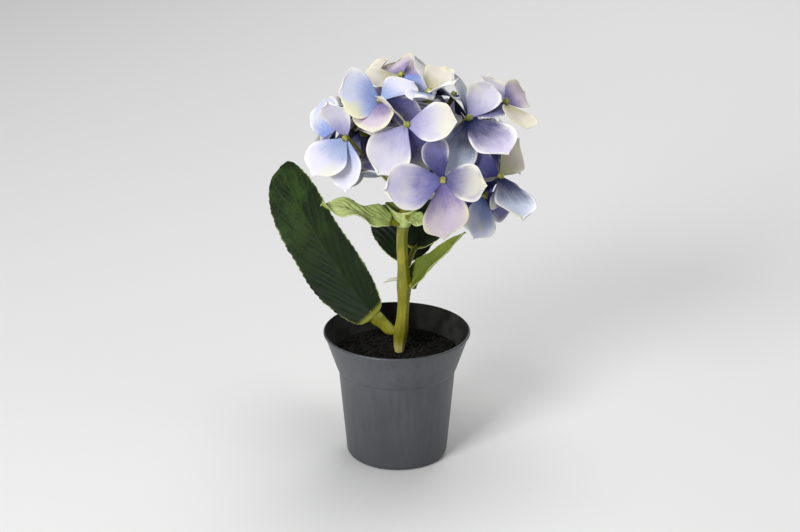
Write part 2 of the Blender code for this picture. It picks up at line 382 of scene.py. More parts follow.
print("pot faces", len(pot_piece.data.polygons))

# %% [markdown]
# ## The fill
#
# The pot is weighted with cement, and dark granules are glued on top. Noise alone would look
# like felt, so real grains are strewn: a twenty-sided lump each, squeezed and turned by
# chance, on a bed that is itself uneven. The chance is seeded, so each run strews alike.

# %% Strew the granules
GRAINS = 620
GRAIN_RADIUS = 0.00085
GRAIN_SUNK = 0.0002
GRAIN_REACH = 0.965
# a grain's middle lies above the bed by this share of its radius
GRAIN_RISE = 0.15
# what chance picks from: size, width and height as shares, and the most tilt in radians
GRAIN_SIZES = (0.55, 1.45)
GRAIN_WIDTHS = (0.6, 1.0)
GRAIN_HEIGHTS = (0.5, 0.9)
GRAIN_TILT = 0.6
BED_RINGS = 26
BED_SIDES = 72
BED_GAP = 0.0003
BED_SUNK = 0.0005
BED_EDGE = 0.99
BED_WAVES = 0.0007
BED_WAVE_SCALE = 420.0

fill_finish = Finish("dark_granules", 0.92, Specular_IOR_Level=0.2)
speck = fill_finish.mottle(fill_finish.place(), 420.0, 2.0).from_to(0.42, 0.68)
fill_finish.paint(fill_finish.mix(speck, rgb(0.0020, 0.0022, 0.0014), rgb(0.011, 0.009, 0.006)))
fill_finish.emboss(fill_finish.mottle(fill_finish.place(), 1500.0, 3.0), 0.0003, 0.8)

fill_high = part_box("fill")[1]
fill_top = fill_high.z
inset_top = fill_high.x - BED_GAP
bm = bmesh.new()
top_line = [(inset_top * ring / BED_RINGS, fill_top) for ring in range(BED_RINGS + 1)]
sides = [
    (COLLAR_FOOT[0] - 2.0 * WALL, COLLAR_FOOT[1]),
    (BODY_TOP[0] - 2.0 * WALL, BODY_TOP[1]),
    (BODY_FOOT_RADIUS - FOOT_ROUND, 2.0 * WALL),
    (0.0, 2.0 * WALL),
]
spin_outline(bm, [*top_line, *sides], BED_SIDES)
for corner in bm.verts:
    if corner.co.z > fill_top - GRAIN_SUNK and corner.co.xy.length < inset_top * BED_EDGE:
        corner.co.z += BED_WAVES * noise.noise(corner.co * BED_WAVE_SCALE) - BED_SUNK
bed = finished("fill_bed", bm, fill_finish)

chance = random.Random(11)
bm = bmesh.new()
for _ in range(GRAINS):
    reach = inset_top * GRAIN_REACH * math.sqrt(chance.random())
    heading = chance.uniform(0.0, math.tau)
    size = GRAIN_RADIUS * chance.uniform(*GRAIN_SIZES)
    grain = bmesh.ops.create_icosphere(bm, subdivisions=1, radius=size)["verts"]
    wide, high = chance.uniform(*GRAIN_WIDTHS), chance.uniform(*GRAIN_HEIGHTS)
    squeeze = Matrix.Diagonal((1.0, wide, high, 1.0))
    turn = Matrix.Rotation(chance.uniform(0, math.tau), 4, "Z")
    turn = turn @ Matrix.Rotation(chance.uniform(-GRAIN_TILT, GRAIN_TILT), 4, "X")
    rest = fill_top - GRAIN_SUNK + size * GRAIN_RISE
    spot = Vector((reach * math.cos(heading), reach * math.sin(heading), rest))
    bmesh.ops.transform(bm, matrix=Matrix.Translation(spot) @ turn @ squeeze, verts=grain)
grains = finished("fill_granules", bm, fill_finish)
grains.data.shade_flat()
for piece in (bed, grains):
    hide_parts("fill")
print("grains", GRAINS, "faces", len(grains.data.polygons))

# %% [markdown]
# ## Growing a round limb
#
# Stem, leaf stalks and flower stalks are all round limbs. A curve with a bevel would make
# them too, but only as even pipes. Here a disc is extruded from point to point instead, and
# each new ring is turned square to the path and given its own radius.

# %% Extrude a limb along a path
def smooth_path(rows, steps):
    """Catmull-Rom rows between rows of numbers, so that a limb bends evenly."""
    ends = [rows[0], *rows, rows[-1]]
    found = []
    for a, b, c, d in zip(ends, ends[1:], ends[2:], ends[3:]):
        for step in range(steps):
            t = step / steps
            found.append(
                tuple(
                    0.5 * (2 * q + (r - p) * t + (2 * p - 5 * q + 4 * r - s) * t**2
                           + (3 * q - p - 3 * r + s) * t**3)
                    for p, q, r, s in zip(a, b, c, d)
                )
            )
    return [*found, rows[-1]]


def grow_limb(bm, points, radii, sides=10):
    """Extrudes a disc along points. Returns its rings, each with the matrix that placed it."""
    points = [Vector(point) for point in points]
    aims = [(b - a).normalized() for a, b in zip(points, points[1:])]
    aims = [aims[0], *[(a + b).normalized() for a, b in zip(aims, aims[1:])], aims[-1]]
    facing = Vector((0, 0, 1)).rotation_difference(aims[0])
    disc = bmesh.ops.create_circle(bm, cap_ends=True, segments=sides, radius=1.0)["verts"]
    cap = disc[0].link_faces[0]
    placed = Matrix.Identity(4)
    rings = []
    for index, (point, aim, radius) in enumerate(zip(points, aims, radii)):
        if index:
            facing = aims[index - 1].rotation_difference(aim) @ facing
            old_cap = cap
            made = bmesh.ops.extrude_face_region(bm, geom=[old_cap])["geom"]
            cap = next(item for item in made if isinstance(item, bmesh.types.BMFace))
            if index > 1:
                bmesh.ops.delete(bm, geom=[old_cap], context="FACES_ONLY")
        target = Matrix.LocRotScale(point, facing, Vector((radius,) * 3))
        bmesh.ops.transform(bm, matrix=target @ placed.inverted(), verts=cap.verts)
        placed = target
        rings.append((list(cap.verts), target))
    return rings


def grow_smoothly(bm, points, radii, steps, sides):
    """Grows a limb through points, with this many steps from each one to the next."""
    rows = smooth_path([(*point, radius) for point, radius in zip(points, radii)], steps)
    return grow_limb(bm, [row[:3] for row in rows], [row[3] for row in rows], sides)


print("limbs ready")

# %% [markdown]
# ## The stem
#
# The moulded stem copies a young woody shoot: a slight bow, a swelling at each leaf node, low
# ridges along it and a small dormant bud. The ridges are real relief, worked into the rings;
# bump alone would leave the outline smooth. The plain stem's line is repeated here, above the
# fill's top. Its plastic is yellow-green, mottled, and paler at the foot.

# %% Mould the stem
stem_finish = Finish("stem_plastic", 0.42, Subsurface_Weight=0.08, Subsurface_Scale=0.002)
stem_finish.shader.inputs["Subsurface Radius"].default_value = (1.0, 0.9, 0.25)
blotch = stem_finish.mottle(stem_finish.place(), 120.0)
fibre = stem_finish.mottle(stem_finish.place((1.0, 1.0, 0.12)), 1500.0, 2.0)
young = stem_finish.mix(blotch.from_to(0.38, 0.64), rgb(0.17, 0.17, 0.007), rgb(0.29, 0.27, 0.018))
grained = stem_finish.mix(fibre.from_to(0.50, 0.72) * 0.5, young, rgb(0.13, 0.15, 0.008))
stem_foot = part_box("stem")[0].z
above = stem_finish.height() + blotch * 0.004
foot = above.from_to(stem_foot + 0.0090, stem_foot + 0.0040)
stem_finish.paint(stem_finish.mix(foot * 0.75, grained, rgb(0.50, 0.46, 0.16)))
stem_finish.shine(0.36 + blotch * 0.20)
stem_finish.emboss(fibre, 0.00015, 0.6)

bud_finish = Finish("bud_plastic", 0.5)
bud_finish.paint(rgb(0.50, 0.51, 0.38))

# offset along X, height above the fill and radius
STEM_LINE = (
    (0.0012, 0.0000, 0.0021),
    (0.0012, 0.0040, 0.0027),
    (0.0019, 0.0105, 0.0034),
    (0.0026, 0.0170, 0.0029),
    (0.0032, 0.0260, 0.0028),
    (0.0034, 0.0345, 0.0034),
    (0.0031, 0.0430, 0.0027),
    (0.0025, 0.0530, 0.0026),
    (0.0027, 0.0610, 0.0026),
    (0.0038, 0.0680, 0.0032),
    (0.0060, 0.0782, 0.0027),
)
STEM_STEPS = 9
STEM_SIDES = 40
STEM_RIDGES = 7
RIDGE_HEIGHT = 0.00013
RIDGE_TWIST = 40.0
BUD_NODE = 0.0370
# offset along X, offset in height and radius, from the bud's root to its tip
BUD_LINE = (
    (0.0, 0.0, 0.0010),
    (-0.0040, 0.0002, 0.0009),
    (-0.0068, -0.0004, 0.0007),
    (-0.0096, -0.0018, 0.0002),
)

stem_rows = smooth_path(STEM_LINE, STEM_STEPS)
stem_points = [(x, 0.0, stem_foot + height) for x, height, _ in stem_rows]
bm = bmesh.new()
for ring, placed in grow_limb(bm, stem_points, [row[2] for row in stem_rows], STEM_SIDES):
    middle = placed.translation
    for corner in ring:
        spoke = corner.co - middle
        heading = math.atan2(spoke.y, spoke.x)
        ridge = RIDGE_HEIGHT * math.sin(STEM_RIDGES * heading + RIDGE_TWIST * middle.z)
        corner.co += spoke.normalized() * ridge
bud_x = min(stem_rows, key=lambda row: abs(row[1] - BUD_NODE))[0]
bud_points = [(bud_x + aside, 0.0, stem_foot + BUD_NODE + rise) for aside, rise, _ in BUD_LINE]
stem_faces = set(bm.faces)
grow_limb(bm, bud_points, [row[2] for row in BUD_LINE], 8)
for face in set(bm.faces) - stem_faces:
    face.material_index = 1
bmesh.ops.recalc_face_normals(bm, faces=bm.faces)
stem_piece = finished("moulded_stem", bm, stem_finish, bud_finish)
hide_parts("stem")
print("stem rings", len(stem_rows), "faces", len(stem_piece.data.polygons))

# %% [markdown]
# ## Printed fabric for the leaves
#
# A leaf is cut from stiffened polyester, printed dark green above and paler yellow-green
# beneath, and hot-pressed so that the veins sink in and the fields between them puff up. The
# print follows the leaf's own UV map: along it from stalk to tip, and across it from edge to
# edge. Painted shade darkens the print towards the stalk, and at the stalk it turns yellow-green.
# The cut edge shows the pale cloth, and the weave comes from very fine bumps.

# %% Print the leaf cloth
SIDE_VEINS = 8.0
VEIN_SLANT = 0.42


def leaf_cloth(name, deep, fresh, vein, edge, vein_share):
    """Printed cloth in four colours; the share says how clearly the veins show."""
    finish = Finish(name, 0.62, Specular_IOR_Level=0.18)
    along, across = finish.along_and_across()
    side = abs(across)
    # side veins, which fade towards the edge, and the midrib
    branch = (along - side * VEIN_SLANT) * (SIDE_VEINS * math.tau)
    branch_line = branch.wave().from_to(0.86, 1.0) * side.from_to(1.0, 0.55)
    midrib = side.from_to(0.060, 0.015)
    veins = branch_line.most(midrib) * vein_share
    # the fields between them, with painted shade that darkens them towards the stalk
    cloud = finish.mottle(finish.place(), 95.0)
    fleck = finish.mottle(finish.place(), 700.0, 2.0)
    field = finish.mix((cloud * 0.7 + fleck * 0.3).from_to(0.38, 0.62), deep, fresh)
    print_and_shade = finish.mix(veins, field, vein)
    # painted shade in blotches over the lower half, darkest at the stalk
    painted_stalk_shade = along.from_to(0.80, 0.30) * (cloud.from_to(0.25, 0.55) * 0.8)
    print_and_shade = finish.mix(painted_stalk_shade, print_and_shade, deep)
    # the yellow-green stalk end, and the margin where the print has worn off
    stalk_end = finish.mix(along.from_to(0.040, 0.008), print_and_shade, rgb(0.25, 0.26, 0.030))
    bare = side.from_to(0.945, 0.995) * cloud.from_to(0.36, 0.60)
    finish.paint(finish.mix(bare * 0.85, stalk_end, edge))
    finish.shine(0.52 + fleck * 0.2)
    weave = finish.mottle(finish.place(), 3200.0, 1.0)
    finish.emboss(weave, 0.00008, 0.5)
    return finish


leaf_top = leaf_cloth(
    "leaf_upper_cloth", rgb(0.004, 0.011, 0.002), rgb(0.023, 0.050, 0.008),
    rgb(0.032, 0.063, 0.010), rgb(0.30, 0.34, 0.14), 0.55,
)
leaf_back = leaf_cloth(
    "leaf_under_cloth", rgb(0.16, 0.22, 0.035), rgb(0.25, 0.31, 0.055), rgb(0.40, 0.44, 0.13),
    rgb(0.52, 0.56, 0.28), 0.8,
)
# young leaves are paler, and this cloth is brightened further because the head shades them: partly
# painted light
young_lit_top = leaf_cloth(
    "young_leaf_lit_cloth", rgb(0.36, 0.46, 0.14), rgb(0.54, 0.62, 0.25), rgb(0.66, 0.70, 0.36),
    rgb(0.72, 0.76, 0.48), 0.6,
)
half_grown_top = leaf_cloth(
    "half_grown_leaf_cloth", rgb(0.10, 0.14, 0.014), rgb(0.19, 0.23, 0.030), rgb(0.27, 0.31, 0.06),
    rgb(0.46, 0.50, 0.24), 0.6,
)
leaf_edge = Finish("leaf_cut_edge", 0.8)
leaf_edge.paint(rgb(0.46, 0.52, 0.24))
print(leaf_top.material.name, leaf_back.material.name)

# %% [markdown]
# ## The leaves
#
# Each leaf plugs into a node of the stem with a short stalk. The stalk, the blade's base and
# its direction repeat those of the plain model, so the cloth lies where the plain blade does.
# A blade starts as a flat grid and is then moved into its outline: toothed edge, fold along
# the midrib, arch, wavy margin and the puffed fields between the veins. A few numbers are
# added to the plain leaf's own: the stalk's radius, the base's width, the edge's wave, and a
# twist towards the tip.

# %% Describe the leaves
# measures that the plain leaves have too
GAP = 0.0003
LEAF_STALK_RADIUS = 0.0012
BASE_HALF_THICKNESS = 0.00045
BASE_HALF_WIDTH = 0.0014
# the cloth ends in a sharper point than the plain blade
TIP_HALF_WIDTH = 0.0002

# node's height above the fill; stalk's heading, rise, length and radius; blade's heading, rise
# and roll; then its length, width, half width at the base, fold, arch, fullness of base and
# tip, edge wave and twist towards the tip
LEAVES = {
    "low_left": (0.0105, 168, 40, 0.0095, 0.0017, 148, 41, -80,
                 0.094, 0.0375, 0.0042, 14, 31, 0.44, 0.34, 0.0010, 6),
    "middle_right": (0.0345, -16, 54, 0.0005, 0.0014, -14, 50, 26,
                     0.0375, 0.0170, 0.0042, 20, 4, 0.22, 0.86, 0.0006, 0),
    "middle_back_left": (0.0345, 92, 40, 0.009, 0.0012, 88, 30, 6,
                         0.050, 0.034, 0.0014, 10, 22, 0.66, 0.78, 0.0012, -8),
    "upper_back_right": (0.0430, 62, 40, 0.008, 0.0012, 58, 33, -6,
                         0.055, 0.036, 0.0014, 10, 24, 0.66, 0.78, 0.0012, 8),
    "top_left": (0.0665, 216, 25, 0.002, 0.0013, 178, 19, -12,
                 0.0335, 0.0180, 0.0036, 8, 10, 0.44, 0.52, 0.0018, 0),
    "top_front": (0.0697, 282, 10, 0.0010, 0.0012, -14, -9, 22,
                  0.0125, 0.0104, 0.0034, 8, 10, 0.46, 0.60, 0.0008, 0),
}
# how far a blade's base is moved towards the stem, and the cloth of those that are young, paler and
# brightened further with painted light
TUCKED_IN = {"middle_right": 0.0014}
UPPER_SIDES = {"top_left": young_lit_top, "top_front": young_lit_top, "middle_right": half_grown_top}


def direction(heading, rise):
    """A unit vector from a heading, counted from +X towards +Y, and a rise, in degrees."""
    flat, up = math.radians(heading), math.radians(rise)
    return Vector((math.cos(flat) * math.cos(up), math.sin(flat) * math.cos(up), math.sin(up)))


def stem_at(height):
    """The stem's middle and radius at the ring that is nearest to a height above the fill."""
    x, found, radius = min(stem_rows, key=lambda row: abs(row[1] - height))
    return Vector((x, 0.0, stem_foot + found)), radius


def blade_half_width(along, width, base_half, base_full, tip_full):
    """Half the width of a blade from its base (0) to its tip (1), blunter where it is fuller."""
    fullest = base_full / (base_full + tip_full)
    oval, peak = [place**base_full * (1.0 - place) ** tip_full for place in (along, fullest)]
    ends = base_half * (1.0 - along) + TIP_HALF_WIDTH * along
    return ends + (width / 2.0 - base_half) * oval / peak


print("leaves", ", ".join(LEAVES))

# %% [markdown]
# ## Cutting and pressing a blade
#
# A grid of about two thousand squares is fine enough for teeth and veins. Sculpted bumps or a
# displacement picture would do as well, but a formula keeps the print and the relief in step,
# because both use the same slant of the veins. Solidify then gives the cloth its thickness,
# with the paler print beneath and the cut edge round it.

# %% Cut and press a blade
BLADE_THICKNESS = 0.00035
BLADE_STEPS = 78
BLADE_STRIPS = 28
TEETH = 26
TOOTH_DEPTH = 0.045
TEETH_FROM = 0.9
PUFF = 0.00050
# how steeply the relief grows away from midrib, edge, base and tip
FROM_RIB = 6.0
FROM_EDGE = 4.0
FROM_BASE = 5.0
FROM_TIP = 3.0
DIMPLE = 0.0009
DIMPLES_ALONG = 5.0
DIMPLES_ACROSS = 2.2
NEXT_LEAF = 7.0
# radians of the margin's wave: from base to tip, from rib to edge, and at its start
RIPPLE_ALONG = 11.4
RIPPLE_ACROSS = 1.5
RIPPLE_START = 3.4


def blade_point(along, across, press, seed):
    """Where a spot of the flat cloth ends up in the pressed leaf, seen from the leaf's base."""
    length, width, base_half, fold, arch, base_full, tip_full, wave, twist = press
    fold, arch, twist = math.radians(fold), math.radians(arch), math.radians(twist)
    side = abs(across)
    tooth = (along * TEETH) % 1.0 - 0.5
    margin = max(0.0, side - TEETH_FROM) / (1.0 - TEETH_FROM)
    half = blade_half_width(along, width, base_half, base_full, tip_full)
    half *= 1.0 + TOOTH_DEPTH * tooth * margin
    branch = (along - side * VEIN_SLANT) * SIDE_VEINS * math.tau
    settled = min(1.0, FROM_BASE * along)
    inside = min(1.0, FROM_RIB * side) * min(1.0, FROM_EDGE * (1.0 - side)) * settled
    puff = -PUFF * math.sin(branch) * inside * min(1.0, FROM_TIP * (1.0 - along))
    spot = Vector((along * DIMPLES_ALONG, across * DIMPLES_ACROSS, seed * NEXT_LEAF))
    bumps = DIMPLE * noise.noise(spot)
    phase = RIPPLE_ALONG * along + RIPPLE_ACROSS * across + seed + RIPPLE_START
    ripple = wave * math.sin(phase) * side**2
    lift = half * side * math.sin(fold) + puff + (bumps + ripple) * settled
    droop = length * (1.0 - math.cos(arch * along)) / arch
    turn = twist * along**2
    y, z = half * across * math.cos(fold), lift
    return Vector((
        length * math.sin(arch * along) / arch,
        y * math.cos(turn) - z * math.sin(turn),
        y * math.sin(turn) + z * math.cos(turn) - droop,
    ))


def thicken(piece, thickness, offset=0.0):
    """Gives flat cloth its thickness."""
    cloth = piece.modifiers.new("cloth", "SOLIDIFY")
    cloth.thickness = thickness
    cloth.offset = offset
    return cloth


def add_blade(name, place, press, seed):
    """Makes one leaf's blade, in place of the plain one."""
    bm = bmesh.new()
    bm.loops.layers.uv.new("print")
    grid = bmesh.ops.create_grid(
        bm, x_segments=BLADE_STEPS, y_segments=BLADE_STRIPS, size=1.0, calc_uvs=True
    )["verts"]
    for corner in grid:
        corner.co = place @ blade_point((corner.co.x + 1.0) / 2.0, corner.co.y, press, seed)
    upper = UPPER_SIDES.get(name, leaf_top)
    blade = finished("leaf_blade_" + name, bm, upper, leaf_back, leaf_edge)
    cloth = thicken(blade, BLADE_THICKNESS)
    cloth.material_offset = 1
    cloth.material_offset_rim = 2
    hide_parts("leaf_" + name)


print("blade faces", BLADE_STEPS * BLADE_STRIPS)

# %% [markdown]
# ## Plugging in the leaves
#
# The stalk is one more limb: it widens into the blade's base, as broad as the cloth there, and
# runs on as the midrib under the blade, so that cloth and stalk hold together. It is flattest
# and widest where the cloth begins, and round again further on.

# %% Plug in the leaves
STALK_STEPS = 4
STALK_SIDES = 12
ROOT_RADIUS = 0.0012
ELBOW_SWELLING = 1.15
RIB_POINTS = 12
RIB_REACH = 0.94
RIB_RADIUS = 0.0008
RIB_TIP_RADIUS = 0.0002
RIB_SUNK = 0.00005
MOST_FLARE = 1.4
FLATTENED = 0.72


def add_stalk(name, stalk_line, place, press, seed):
    """Makes one leaf's stalk and midrib, from points with their radii up to the blade."""
    sideways = place.to_3x3() @ Vector((0.0, 1.0, 0.0))
    upwards = place.to_3x3() @ Vector((0.0, 0.0, 1.0))
    blade_at = STALK_STEPS * (len(stalk_line) - 1.0)
    line = list(stalk_line)
    for step in range(1, RIB_POINTS + 1):
        share = step / RIB_POINTS * RIB_REACH
        radius = RIB_RADIUS * (1.0 - share) + RIB_TIP_RADIUS
        below = place.to_3x3() @ Vector((0.0, 0.0, RIB_SUNK - radius))
        line.append((place @ blade_point(share, 0.0, press, seed) + below, radius))
    bm = bmesh.new()
    rings = grow_smoothly(bm, *zip(*line), STALK_STEPS, STALK_SIDES)
    flare = min(MOST_FLARE, max(0.0, press[2] / stalk_line[-1][1] - 1.0))
    for index, (ring, placed) in enumerate(rings):
        share = index / blade_at
        share = share if share < 1.0 else max(0.0, 2.0 - share) ** 2
        for corner in ring:
            spoke = corner.co - placed.translation
            corner.co += sideways * spoke.dot(sideways) * flare * share
            corner.co -= upwards * spoke.dot(upwards) * FLATTENED * share * min(1.0, flare)
    bmesh.ops.recalc_face_normals(bm, faces=bm.faces)
    stalk = finished("leaf_stalk_and_rib_" + name, bm, stem_finish)
    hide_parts("leaf_stalk_" + name)


for seed, (name, leaf) in enumerate(LEAVES.items()):
    height, stalk_heading, stalk_rise, stalk_length, stalk_radius = leaf[:5]
    heading, rise, roll = leaf[5:8]
    press = leaf[8:]
    node, stem_radius = stem_at(height)
    out = direction(stalk_heading, stalk_rise)
    level = Vector((out.x, out.y, 0.0)).normalized()
    elbow = node + level * (stem_radius + GAP + LEAF_STALK_RADIUS)
    end = elbow + out * stalk_length
    slant = out.angle(direction(heading, rise))
    corner_reach = math.hypot(BASE_HALF_THICKNESS, BASE_HALF_WIDTH)
    seat = end + out * (GAP + corner_reach * math.sin(slant))
    place = (
        Matrix.Translation(seat - level * TUCKED_IN.get(name, 0.0))
        @ Matrix.Rotation(math.radians(heading), 4, "Z")
        @ Matrix.Rotation(-math.radians(rise), 4, "Y")
        @ Matrix.Rotation(math.radians(roll), 4, "X")
    )
    add_blade(name, place, press, seed)
    stalk_line = [
        (node, ROOT_RADIUS),
        (elbow, stalk_radius * ELBOW_SWELLING),
        ((elbow + end) / 2.0, stalk_radius),
        (end, stalk_radius),
    ]
    add_stalk(name, stalk_line, place, press, seed)
print("leaves plugged in", len(LEAVES))

# %% [markdown]
# ## The base of the young leaves
#
# The two young leaves at the top share a base that wraps the stem like a collar, higher on the
# sides where they leave it. It is a strip of the same cloth, closed into a ring and thickened.

# %% Wrap the young leaves' base
# height above the fill, and the strip's own height
YOUNG_BASE = (0.0640, 0.0078)
WRAP_GAP = 0.0005
WRAP_FLARE = 0.0014
WRAP_RUFFLE = 0.0005
WRAP_RUFFLES = 5.0
# where the leaves leave, the wrap flares and rises more
SIDE_FLARE = 0.0036
SIDE_RISE = 0.0028
SIDE_TURN = 0.15
WRAP_CURVE = 1.5
WRAP_STEPS = 7
WRAP_STRIPS = 36
WRAP_MERGE = 0.00005

node, stem_radius = stem_at(YOUNG_BASE[0])
bm = bmesh.new()
bm.loops.layers.uv.new("print")
wrap = bmesh.ops.create_grid(
    bm, x_segments=WRAP_STEPS, y_segments=WRAP_STRIPS, size=1.0, calc_uvs=True
)["verts"]
for corner in wrap:
    up, heading = (corner.co.x + 1.0) / 2.0, math.pi * (corner.co.y - 0.5)
    reach = abs(math.cos(heading + SIDE_TURN)) ** 2
    radius = stem_radius + WRAP_GAP + (WRAP_FLARE + SIDE_FLARE * reach) * up**WRAP_CURVE
    radius += WRAP_RUFFLE * up * math.sin(WRAP_RUFFLES * heading)
    rise = (YOUNG_BASE[1] + SIDE_RISE * reach) * up
    corner.co = node + Vector((radius * math.cos(heading), radius * math.sin(heading), rise))
bmesh.ops.remove_doubles(bm, verts=bm.verts, dist=WRAP_MERGE)
bmesh.ops.recalc_face_normals(bm, faces=bm.faces)
young_base = finished("young_leaf_base", bm, young_lit_top)
thicken(young_base, BLADE_THICKNESS, 1.0)
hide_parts("leaf_top_left")
print("base faces", len(young_base.data.polygons))

# %% [markdown]
# ## Dyed cloth for the petals
#
# The petals are cut from sheer cloth and dyed by hand: a deep throat, a paler body and an
# edge left pale. Each dye bath gives its own tint, and the maker mixes them in one head, so
# there is one cloth for each tint. A few tints carry painted light as well: the grey one is
# painted shade, the violet one and the indigo throat are darkened as painted shade, and the
# near-white one is painted light. The dye runs along the weave in fine streaks, which follow
# the petal's own UV map, and here and there the outer part has kept a cream blot. One colour
# for each corner of the mesh would be simpler, but the petals have too few corners for that.

# %% Dye the petal cloth
# how far the throat's dye reaches; then throat, body and edge, and for one a flush on one side
TINTS = {
    "frost": (0.55, rgb(0.28, 0.36, 0.60), rgb(0.65, 0.64, 0.78), rgb(0.80, 0.79, 0.79)),
    "sky": (0.60, rgb(0.18, 0.25, 0.57), rgb(0.50, 0.54, 0.72), rgb(0.77, 0.77, 0.73)),
    "dawn": (0.60, rgb(0.20, 0.28, 0.60), rgb(0.56, 0.60, 0.76), rgb(0.78, 0.77, 0.74),
             rgb(0.74, 0.72, 0.36)),
    "pearl": (0.50, rgb(0.28, 0.27, 0.48), rgb(0.54, 0.52, 0.62), rgb(0.77, 0.75, 0.70)),
    "lilac": (0.62, rgb(0.13, 0.13, 0.36), rgb(0.50, 0.47, 0.64), rgb(0.76, 0.73, 0.68)),
    "blush": (0.58, rgb(0.16, 0.13, 0.32), rgb(0.55, 0.47, 0.56), rgb(0.68, 0.64, 0.46)),
    # a greyed copy for petals that lie in shade: painted shade
    "smoke": (0.58, rgb(0.07, 0.07, 0.19), rgb(0.34, 0.32, 0.40), rgb(0.72, 0.70, 0.65)),
    # indigo's near-black throat, reaching far up the petal, is painted shade at the base
    "indigo": (0.84, rgb(0.003, 0.008, 0.075), rgb(0.56, 0.52, 0.69), rgb(0.82, 0.79, 0.79)),
    # violet is darkened for petals that lie in shade: partly dye, partly painted shade
    "violet": (0.60, rgb(0.03, 0.03, 0.13), rgb(0.14, 0.135, 0.28), rgb(0.56, 0.54, 0.58)),
    "deep": (0.66, rgb(0.016, 0.021, 0.090), rgb(0.47, 0.52, 0.66), rgb(0.79, 0.80, 0.80)),
    "cream": (0.55, rgb(0.36, 0.34, 0.18), rgb(0.60, 0.56, 0.50), rgb(0.74, 0.70, 0.56)),
    # a whiter copy of frost for petals that catch the light: painted light
    "snow": (0.35, rgb(0.52, 0.56, 0.72), rgb(0.82, 0.81, 0.83), rgb(0.85, 0.84, 0.82)),
}
BLOT = rgb(0.72, 0.70, 0.50)


def petal_cloth(name, reach, throat, body, edge, flush=None):
    """Thin dyed cloth that lets some light through."""
    finish = Finish(
        "petal_cloth_" + name, 0.75, Sheen_Weight=0.06, Sheen_Roughness=0.4, Subsurface_Weight=0.12,
        Subsurface_Scale=0.0015, Specular_IOR_Level=0.2,
    )
    finish.shader.inputs["Subsurface Radius"].default_value = (0.9, 0.9, 1.0)
    along, across = finish.along_and_across()
    own = finish.place((2.2, 15.0, 1.0), "UV")
    streak = finish.mottle(own, 2.0, 3.0)
    cloud = finish.mottle(finish.place(), 130.0)
    spread = finish.mottle(finish.place(), 62.0, 2.0)
    # the throat's dye, from the claw outwards
    deep = (along + (streak - 0.5) * 0.34 + (cloud - 0.5) * 0.35).from_to(reach, 0.04)
    # the edge's colour, which comes in unevenly towards the sides and the tip
    outer = abs(across) ** 3.0 * along.from_to(0.15, 0.60) + along**5.0
    uneven = (cloud - 0.5) * along.from_to(0.15, 0.50) * 1.1
    rim = (outer + uneven + (streak - 0.5) * 0.3).from_to(0.10, 1.15)
    # a clearer hem along the outer margin
    hem = (abs(across) + (cloud - 0.5) * 0.25).from_to(0.77, 0.95).most(along.from_to(0.90, 0.98))
    rim = rim.most(hem * along.from_to(0.20, 0.45) * 0.92)
    # cream blots on the outer part
    blot = spread.from_to(0.52, 0.64) * along.from_to(0.25, 0.75) * 0.6
    dyed = finish.mix(deep, body, throat)
    worn = finish.mix(blot, finish.mix(rim, dyed, edge), BLOT)
    if flush:
        one_side = (across + (cloud - 0.5) * 0.5).from_to(0.15, 0.50) * along.from_to(0.25, 0.55)
        worn = finish.mix(one_side * 0.7, worn, flush)
    finish.paint(worn)
    weave = finish.mottle(finish.place(), 2600.0, 1.0)
    crumple = finish.mottle(finish.place(), 420.0, 2.0)
    finish.emboss(weave * 0.3 + streak * 0.3 + crumple * 0.4, 0.00035, 0.6)
    return finish


petal_finishes = [petal_cloth(name, *tint) for name, tint in TINTS.items()]
tint_index = {name: index for index, name in enumerate(TINTS)}
print("tints", ", ".join(TINTS))

# %% [markdown]
# ## A petal's outline
#
# A petal starts as a narrow claw, is broadest beyond its middle, and ends bluntly. A sine opens
# the claw and a squarish arc closes the tip, so two short formulas give the width at any place.
# A drawn curve would do too, but it would need many more numbers.

# %% Draw a petal's outline
WIDEST = 0.64
# widths as shares of the full one, and how bluntly the outline leaves them
CLAW_WIDTH = 0.10
CLAW_BLUNTNESS = 1.25
TIP_WIDTH = 0.03
TIP_BLUNTNESS = 2.4


def petal_outline(along):
    """The share of its full width that a petal has at a share of its length."""
    if along < WIDEST:
        rise = math.sin(math.pi / 2.0 * along / WIDEST) ** CLAW_BLUNTNESS
        return CLAW_WIDTH + (1.0 - CLAW_WIDTH) * rise
    fall = ((along - WIDEST) / (1.0 - WIDEST)) ** TIP_BLUNTNESS
    return TIP_WIDTH + (1.0 - TIP_WIDTH) * math.sqrt(1.0 - fall)


print("widths", [round(petal_outline(quarter / 4.0), 2) for quarter in range(5)])

# %% [markdown]
# ## One petal
#
# A petal is a grid too, moved into that outline. Its section is cupped, its length curls, its
# margin waves, and a small point may end it. Its lift is the angle between it and the floret's
# face. Its clock says where it points, in degrees, as on a dial seen from in front, with twelve
# up. One petal could be copied for all, but cloth petals differ, so each has its own shape.

# %% Shape a petal
PETAL_STEPS = 11
PETAL_STRIPS = 8
ROW_CROWDING = 1.45
RAGGED = 0.20
RAGGED_SCALE = 3.4
# radians of the margin's wave and of its frill from claw to tip
WAVE_RUN = 7.0
FRILL_RUN = 15.0
FRILL_SHARE = 0.3
# how closely the two keep to the margin
WAVE_HUG = 1.6
FRILL_HUG = 3
GROOVE_DEPTH = 0.0004
# shares of the half width
GROOVE_SPREAD = 0.16
POINT_SPREAD = 0.45
# how far the sides lag behind the middle, as a share of the length
SIDES_BACK = 0.06
EYE_RADIUS = 0.0006
UPRIGHT = Vector((0.0, 0.35, 1.0))
NET_STEPS = 7
NET_STRIPS = 6
NET_START = 0.2
# what chance picks from: curl and cup in degrees, wave in metres, and skew and tip as shares
# of the petal's length
CURL = (-26.0, 6.0)
CUP = (12.0, 30.0)
WAVE = (0.0007, 0.0019)
SKEW = (-0.12, 0.12)
TIP = (0.0, 0.09)


def face_frame(facing):
    """The up and right of a dial that faces this way, as someone in front of it sees them."""
    up = (UPRIGHT - facing * UPRIGHT.dot(facing)).normalized()
    return up, up.cross(facing)


